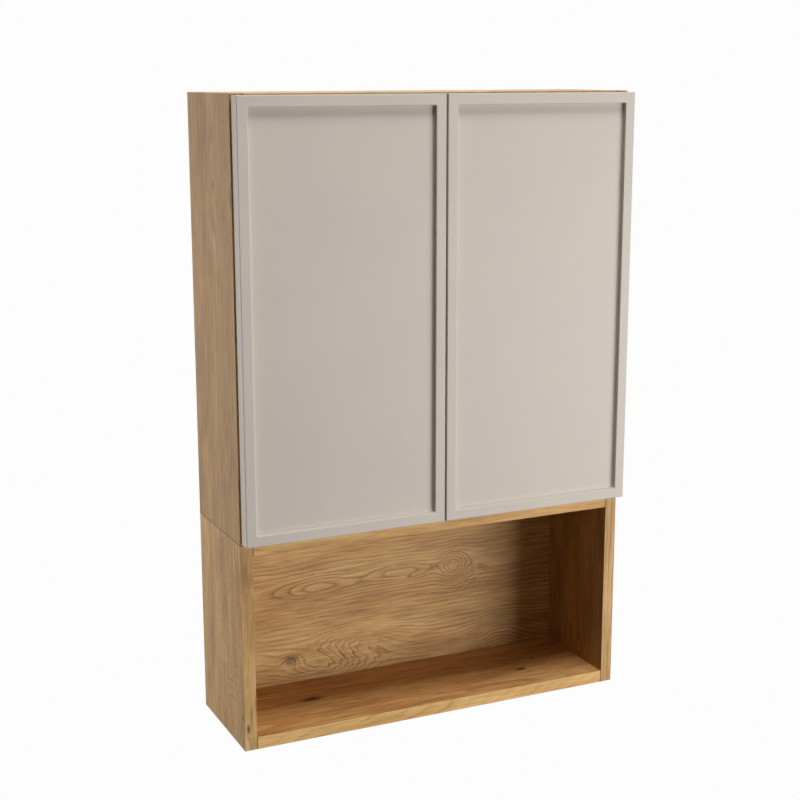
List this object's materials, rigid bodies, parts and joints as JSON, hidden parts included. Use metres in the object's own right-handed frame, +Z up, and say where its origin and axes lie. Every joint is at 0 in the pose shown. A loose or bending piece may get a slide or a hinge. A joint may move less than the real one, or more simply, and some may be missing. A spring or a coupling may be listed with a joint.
{
  "type": "bathroom wall cabinet",
  "caption": "Wall-hung bathroom cabinet: handle-less framed doors on concealed hinges with push latches, over an open oak niche, held by adjustable hangers on wall plates.",
  "frame": {"origin": "on the wall, midway between the two wall plates, at the height of their screw holes", "axes": "+X to the right as seen from the room, +Y into the wall, +Z up; the doors face -Y"},
  "size_m": [0.6, 0.2, 0.9],
  "materials": {
    "oak_veneer": "satin",
    "oak_edge": "satin",
    "thin_board": "matt",
    "dowel_wood": "matt",
    "door_lacquer": "satin lacquer",
    "zinc_plated_steel": "satin",
    "nickel_plated_steel": "polished",
    "pin_steel": "ground",
    "spring_steel": "drawn",
    "magnet_black": "matt",
    "white_plastic": "matt"
  },
  "bodies": {
    "cabinet": {"upper_left_side": "oak_veneer", "upper_right_side": "oak_veneer", "upper_top_panel": "oak_veneer", "upper_bottom_panel": "oak_veneer", "upper_back_panel": "thin_board", "upper_edge_strips": "oak_edge", "upper_dowels": "dowel_wood", "lower_left_side": "oak_veneer", "lower_right_side": "oak_veneer", "lower_top_panel": "oak_veneer", "lower_bottom_panel": "oak_veneer", "lower_back_panel": "oak_veneer", "lower_edge_strips": "oak_edge", "lower_dowels": "dowel_wood", "connector_sleeves": "zinc_plated_steel", "connector_bolts": "zinc_plated_steel", "top_shelf": "oak_veneer", "bottom_shelf": "oak_veneer", "shelf_edge_strips": "oak_edge", "shelf_supports": "nickel_plated_steel", "hinge_arms": "nickel_plated_steel", "hinge_arm_pins": "pin_steel", "hinge_mounting_plates": "nickel_plated_steel", "hinge_plate_screws": "zinc_plated_steel", "hinge_arm_screws": "zinc_plated_steel", "latch_housings": "white_plastic", "latch_screws": "zinc_plated_steel", "left_latch_spring": "spring_steel", "right_latch_spring": "spring_steel", "hanger_housings": "zinc_plated_steel", "hanger_hooks": "zinc_plated_steel", "hanger_height_screws": "pin_steel", "hanger_depth_screws": "pin_steel", "hanger_cover_caps": "white_plastic", "wall_plates": "zinc_plated_steel"},
    "left_door": {"left_door": "door_lacquer", "left_hinge_cups": "nickel_plated_steel", "left_cup_pins": "pin_steel", "left_cup_screws": "zinc_plated_steel", "left_strike_plate": "zinc_plated_steel"},
    "left_outer_links": {"left_outer_links": "nickel_plated_steel"},
    "left_inner_links": {"left_inner_links": "zinc_plated_steel", "left_slide_pins": "pin_steel"},
    "left_plunger": {"left_latch_plunger": "white_plastic", "left_latch_magnet": "magnet_black"},
    "right_door": {"right_door": "door_lacquer", "right_hinge_cups": "nickel_plated_steel", "right_cup_pins": "pin_steel", "right_cup_screws": "zinc_plated_steel", "right_strike_plate": "zinc_plated_steel"},
    "right_outer_links": {"right_outer_links": "nickel_plated_steel"},
    "right_inner_links": {"right_inner_links": "zinc_plated_steel", "right_slide_pins": "pin_steel"},
    "right_plunger": {"right_latch_plunger": "white_plastic", "right_latch_magnet": "magnet_black"}
  },
  "joints": [
    {"name": "left_outer_link_turn", "type": "hinge", "parent": "cabinet", "child": "left_outer_links", "pos_m": [-0.2589, -0.1636, 0], "axis": [0, 0, 1], "range_deg": [0, 36]},
    {"name": "left_door_turn", "type": "hinge", "parent": "left_outer_links", "child": "left_door", "pos_m": [-0.2852, -0.1824, 0], "axis": [0, 0, -1], "range_deg": [0, 128.34]},
    {"name": "left_inner_link_turn", "type": "hinge", "parent": "left_door", "child": "left_inner_links", "pos_m": [-0.2823, -0.1849, 0], "axis": [0, 0, 1], "range_deg": [0, 146]},
    {"name": "left_plunger_slide", "type": "slide", "parent": "cabinet", "child": "left_plunger", "axis": [0, -1, 0], "range_m": [0, 0.0145], "deforming": ["left_latch_spring"]},
    {"name": "right_outer_link_turn", "type": "hinge", "parent": "cabinet", "child": "right_outer_links", "pos_m": [0.2589, -0.1636, 0], "axis": [0, 0, -1], "range_deg": [0, 36]},
    {"name": "right_door_turn", "type": "hinge", "parent": "right_outer_links", "child": "right_door", "pos_m": [0.2852, -0.1824, 0], "axis": [0, 0, 1], "range_deg": [0, 128.34]},
    {"name": "right_inner_link_turn", "type": "hinge", "parent": "right_door", "child": "right_inner_links", "pos_m": [0.2823, -0.1849, 0], "axis": [0, 0, -1], "range_deg": [0, 146]},
    {"name": "right_plunger_slide", "type": "slide", "parent": "cabinet", "child": "right_plunger", "axis": [0, -1, 0], "range_m": [0, 0.0145], "deforming": ["right_latch_spring"]}
  ],
  "couplings": [
    {"joint": "left_outer_link_turn", "follows": "left_door_turn", "ratio": 0.27536},
    {"joint": "left_inner_link_turn", "follows": "left_door_turn", "ratio": 1.1304},
    {"joint": "left_plunger_slide", "follows": "left_door_turn", "m_per_rad": 0.00625},
    {"joint": "right_outer_link_turn", "follows": "right_door_turn", "ratio": 0.27536},
    {"joint": "right_inner_link_turn", "follows": "right_door_turn", "ratio": 1.1304},
    {"joint": "right_plunger_slide", "follows": "right_door_turn", "m_per_rad": 0.00625}
  ]
}
